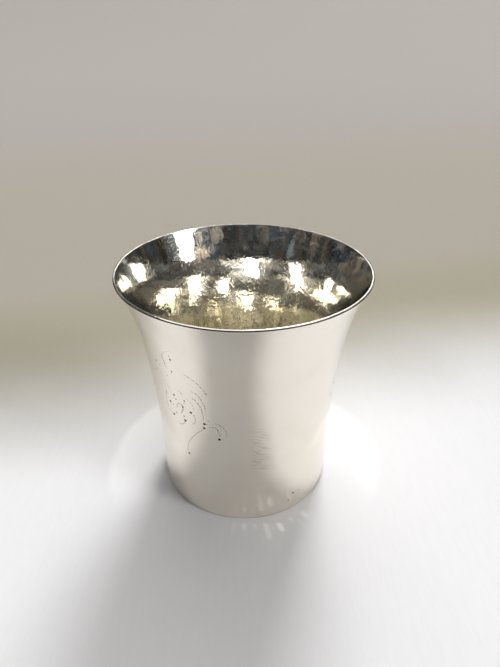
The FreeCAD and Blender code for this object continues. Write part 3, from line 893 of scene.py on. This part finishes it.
# Solder under the lip wire: a thin three-cornered ring whose lower edge wanders down the wall
def makeLipSolder():
    angle = evenAngles(lipRing["columns"])
    share = 0.6 + 0.55 * unevenRound(angle, 12, 90, 9)
    low = wireFootAngle - 2 * np.arcsin(wall["wallSolder"] * share / (2 * lipRadius))
    under = wireFoot[:, None] + (wireCorner - wireFoot)[:, None] * np.minimum(share, 1)
    radii = [np.full_like(angle, wireFoot[0]), lipCentre[0] - lipRadius * np.cos(low), under[0]]
    heights = [np.full_like(angle, wireFoot[1]), lipCentre[1] + lipRadius * np.sin(low), under[1]]
    makeRing("lip_solder_seam", radii, heights, angle, solderSilver, "lip_solder", 40)


makeBaseSolder()
makeLipWire()
makeLipSolder()

stage = {
    # flat up to a distance, then bent up on a circle, by rise in radians
    "flat": 1500.0, "width": 6000.0, "bend": 11400.0, "rise": 0.265, "rows": 40,
    "nearEdge": -420.0, "nearWidth": 500.0,
    # painted shade from front to back: the sheet's colour greys and yellows behind the beaker as shade would
    # make it, as (start, end, colour), along a direction turned by tilt
    "front": (0.91, 0.90, 0.905), "tilt": 0.24, "shadeWander": 26.0, "background": (0.44, 0.42, 0.41),
    "paintedShades": [(-10.0, 120.0, (0.42, 0.39, 0.30)), (125.0, 190.0, (0.45, 0.41, 0.35)),
              (300.0, 900.0, (0.46, 0.43, 0.40))],
    "weave": (0.982, 0.982, 0.986),    # how much the threads darken the sheet
    # the ring of light that the wall throws on the sheet: outer radius and how sharp it is, inner
    # radius, and the angles from the front, in radians, over which it comes and goes at both sides
    "ringRadius": 55.0, "ringSharp": 4.0, "ringWander": 8.0, "ringInner": 34.0, "ringStrength": 0.11,
    "ringComes": (0.95, 1.5), "ringGoes": (2.1, 2.6), "glowTint": (1.0, 0.98, 0.94),
    # flecks as (azimuth, nearest and farthest radius, half width, strength)
    "flecks": [(0, 34.0, 37.0, 1.5, .10), (6.5, 34.0, 36.5, 1.2, .09), (12.6, 34.5, 41.5, 1.5, .12),
               (20, 35.8, 39.5, 1.7, .2), (27.5, 35.2, 37.5, 1.0, .10), (36, 35.0, 38.5, 1.7, .14),
               (16, 35.5, 38, 0.8, .05), (-6, 34, 38, 1.2, .04), (31, 37, 41, 1.2, .05)],
    "fleckWander": 4.0,
}


# The pale sheet under the beaker: near white in front, with painted shade that makes it greyer and slightly
# yellow behind as in the photo, flat and then bent up on a large circle, two points wide. Light that the
# silver throws back on it shows as a faint ring at each side and as flecks before the foot, by angle and
# radius
def makeFloor():
    material, tree, place = newMaterial("pale_sheet")
    cloud = noiseAt(place, (0.012, 0.012, 0.012), 3.0)
    aside, deep, height = coordinates(place)
    # painted shade: the sheet's colour turns greyer and yellower from front to back, where shade lies behind
    # the beaker
    forward = deep - aside * stage["tilt"] + (cloud - 0.5) * stage["shadeWander"]
    colour = stage["front"]
    for start, end, tone in stage["paintedShades"]:
        colour = forward.step(start, end).blend(colour, tone)
    weave = noiseAt(place, (1.2, 0.09, 0.5), 2.0, 0.6, 6.4)
    colour = weave.step(0.3, 0.7).blend(colour, colour.vector("MULTIPLY", stage["weave"]))
    radius = (aside * aside + deep * deep).math("SQRT")
    angle = aside.math("ARCTAN2", deep * -1.0)
    spread = angle.math("ABSOLUTE")
    outer = stage["ringRadius"]
    ring = 1.0 - (radius + (cloud - 0.5) * stage["ringWander"]).step(outer - stage["ringSharp"], outer)
    ring = ring * radius.step(stage["ringInner"], outer) * spread.step(*stage["ringComes"])
    glow = ring * (1.0 - spread.step(*stage["ringGoes"])) * stage["ringStrength"]
    for azimuth, nearest, farthest, halfWidth, strength in stage["flecks"]:
        across = (angle - math.radians(azimuth)) * radius + (cloud - 0.5) * stage["fleckWander"]
        along = radius.step(nearest - 1.0, nearest + 0.6)
        along = along * (1.0 - radius.step(farthest - 2.0, farthest + 0.8))
        glow = glow + (1.0 - across.math("ABSOLUTE").step(0.0, halfWidth)) * along * strength
    shine = glow.blend((0.0, 0.0, 0.0), stage["glowTint"])
    finish(tree, {"Base Color": colour, "Roughness": 1.0, "Specular IOR Level": 0.0,
                  "Emission Color": shine, "Emission Strength": 1.0})
    bends = np.linspace(0, stage["rise"], stage["rows"])
    deep = np.concatenate([[stage["nearEdge"]], stage["flat"] + stage["bend"] * np.sin(bends)])
    tall = np.concatenate([[0], stage["bend"] * (1 - np.cos(bends))])
    wide = np.full(len(deep), stage["width"])
    wide[0] = stage["nearWidth"]
    points = np.stack([np.stack([-wide, wide], -1).ravel(), np.repeat(deep, 2), np.repeat(tall, 2)], -1)
    newObject("sheet", points, gridFaces(len(deep), 2).tolist(), [material])


# Unit vector towards an azimuth and an elevation
def direction(azimuth, elevation):
    azimuth, elevation = math.radians(azimuth), math.radians(elevation)
    return Vector((math.sin(azimuth) * math.cos(elevation), -math.cos(azimuth) * math.cos(elevation),
                   math.sin(elevation)))


# The room as light: dim and mottled low down and brighter overhead
room = {
    # light that is everywhere, and what the middle and the top of the room add to it
    "low": 0.042, "middle": 0.045, "high": 0.08,
    # soft patches as (azimuth, elevation, inner and outer half angle, strength)
    "patches": [(165, 36, 14, 46, 0.3), (58, 26, 10, 26, 0.2)],
    # cells of the mottle by direction, large and small, and their tones
    "blocks": (7.0, 7.0, 5.0), "scraps": (21.0, 21.0, 16.0), "contrast": 1.4, "evenness": 1.05,
    "plain": (1.0, 0.96, 0.90), "warm": (1.0, 0.80, 0.58), "cold": (0.70, 0.86, 1.0),
}
# Soft lamps, as (azimuth, elevation, width and height in degrees, radiance)
lamps = {
    "window_behind": (166, 39, 17, 38, 11.3),
    "window_behind_wide": (179, 42, 38, 16, 1.6),
    "window_behind_low": (198, 18, 24, 15, 0.8),
    "window_behind_high": (174, 70, 56, 22, 0.9),
    "window_front_right": (62, 28, 17, 34, 6.0),
    "window_overhead": (0, 80, 38, 38, 0.6),
}
lampDistance = 20000.0
lampColour = (0.975, 0.985, 1.0)


# The world: steps of light by the height of each direction, patches by its dot product with their
# middle, and two sizes of cells with a random brightness and tone each. The camera sees plain colour
def makeRoom():
    world = bpy.data.worlds.new("room")
    bpy.context.scene.world = world
    world.use_nodes = True
    tree = world.node_tree
    tree.nodes.clear()
    towards = addNode(tree, "TexCoord")
    height = coordinates(towards)[2]
    light = room["low"] + height.step(0.25, 0.62) * room["middle"] + height.step(0.62, 0.9) * room["high"]
    for azimuth, elevation, inner, outer, strength in room["patches"]:
        near = towards.vector("DOT_PRODUCT", tuple(direction(azimuth, elevation)), output=1)
        light = light + near.step(math.cos(math.radians(outer)), math.cos(math.radians(inner))) * strength
    shades = []
    for scales in (room["blocks"], room["scraps"]):
        values = {"Vector": towards.vector("MULTIPLY", scales), "Scale": 1.0}
        cells = addNode(tree, "TexVoronoi", {"feature": "F1"}, values, output=1)
        shades += [addNode(tree, "SeparateColor", {}, {0: cells}, output=part) for part in (0, 1)]
    dim = 1.0 - height.step(0.6, 0.88)
    bright = shades[0].step(0.72, 0.95) * 1.6 + shades[2].step(0.8, 1.0) * 1.3
    patchy = shades[0] * 0.7 + shades[2] * 0.8 + bright
    light = light * (1.0 + (patchy * room["contrast"] - room["evenness"]) * dim)
    tone = shades[1] * 0.65 + shades[3] * 0.35
    colour = tone.step(0.2, 0.5).blend(room["cold"], room["plain"])
    colour = tone.step(0.5, 0.8).blend(colour, room["warm"])
    colour = dim.blend(room["plain"], colour)
    lit = addNode(tree, "Background", {}, {"Color": colour, "Strength": light})
    plain = addNode(tree, "Background", {}, {"Color": stage["background"], "Strength": 1.0})
    camera = addNode(tree, "LightPath")
    mixed = addNode(tree, "MixShader", {}, {0: camera, 1: lit, 2: plain})
    addNode(tree, "OutputWorld", {}, {"Surface": mixed})


# Far lamps that face the beaker: a side is twice the distance by the tangent of half its angle, and
# the power is radiance by pi by the area
def hangLamps():
    for name, (azimuth, elevation, wide, tall, radiance) in lamps.items():
        lamp = bpy.data.lights.new(name, "AREA")
        lamp.shape = "RECTANGLE"
        lamp.size = 2 * lampDistance * math.tan(math.radians(wide / 2)) * mm
        lamp.size_y = 2 * lampDistance * math.tan(math.radians(tall / 2)) * mm
        lamp.energy = radiance * math.pi * lamp.size * lamp.size_y
        lamp.color = lampColour
        outward = direction(azimuth, elevation)
        holder = bpy.data.objects.new(name, lamp)
        holder.location = outward * lampDistance * mm
        holder.rotation_euler = outward.to_track_quat("Z", "Y").to_euler()
        bpy.context.scene.collection.objects.link(holder)


# The photo's camera, fitted to the beaker's outline
view = {
    "place": (0.0, -163.03, 153.32), "pitch": 30.43, "yaw": 0.70,
    "focalPixels": 540.0, "imageHeight": 667.0, "sensor": 36.0,
}


# The lens in millimetres is the focal length as a share of the picture's height, by the sensor
def makeCamera():
    lens = bpy.data.cameras.new("photo")
    lens.sensor_fit = "AUTO"
    lens.sensor_width = view["sensor"]
    lens.lens = view["focalPixels"] * view["sensor"] / view["imageHeight"]
    lens.clip_start = 0.01
    holder = bpy.data.objects.new("photo", lens)
    holder.location = Vector(view["place"]) * mm
    holder.rotation_euler = (math.radians(90 - view["pitch"]), 0, -math.radians(view["yaw"]))
    bpy.context.scene.collection.objects.link(holder)
    bpy.context.scene.camera = holder


makeFloor()
makeRoom()
hangLamps()
makeCamera()
bpy.context.scene.view_settings.view_transform = "Standard"
bpy.context.view_layer.update()
print("stage, light and camera made")
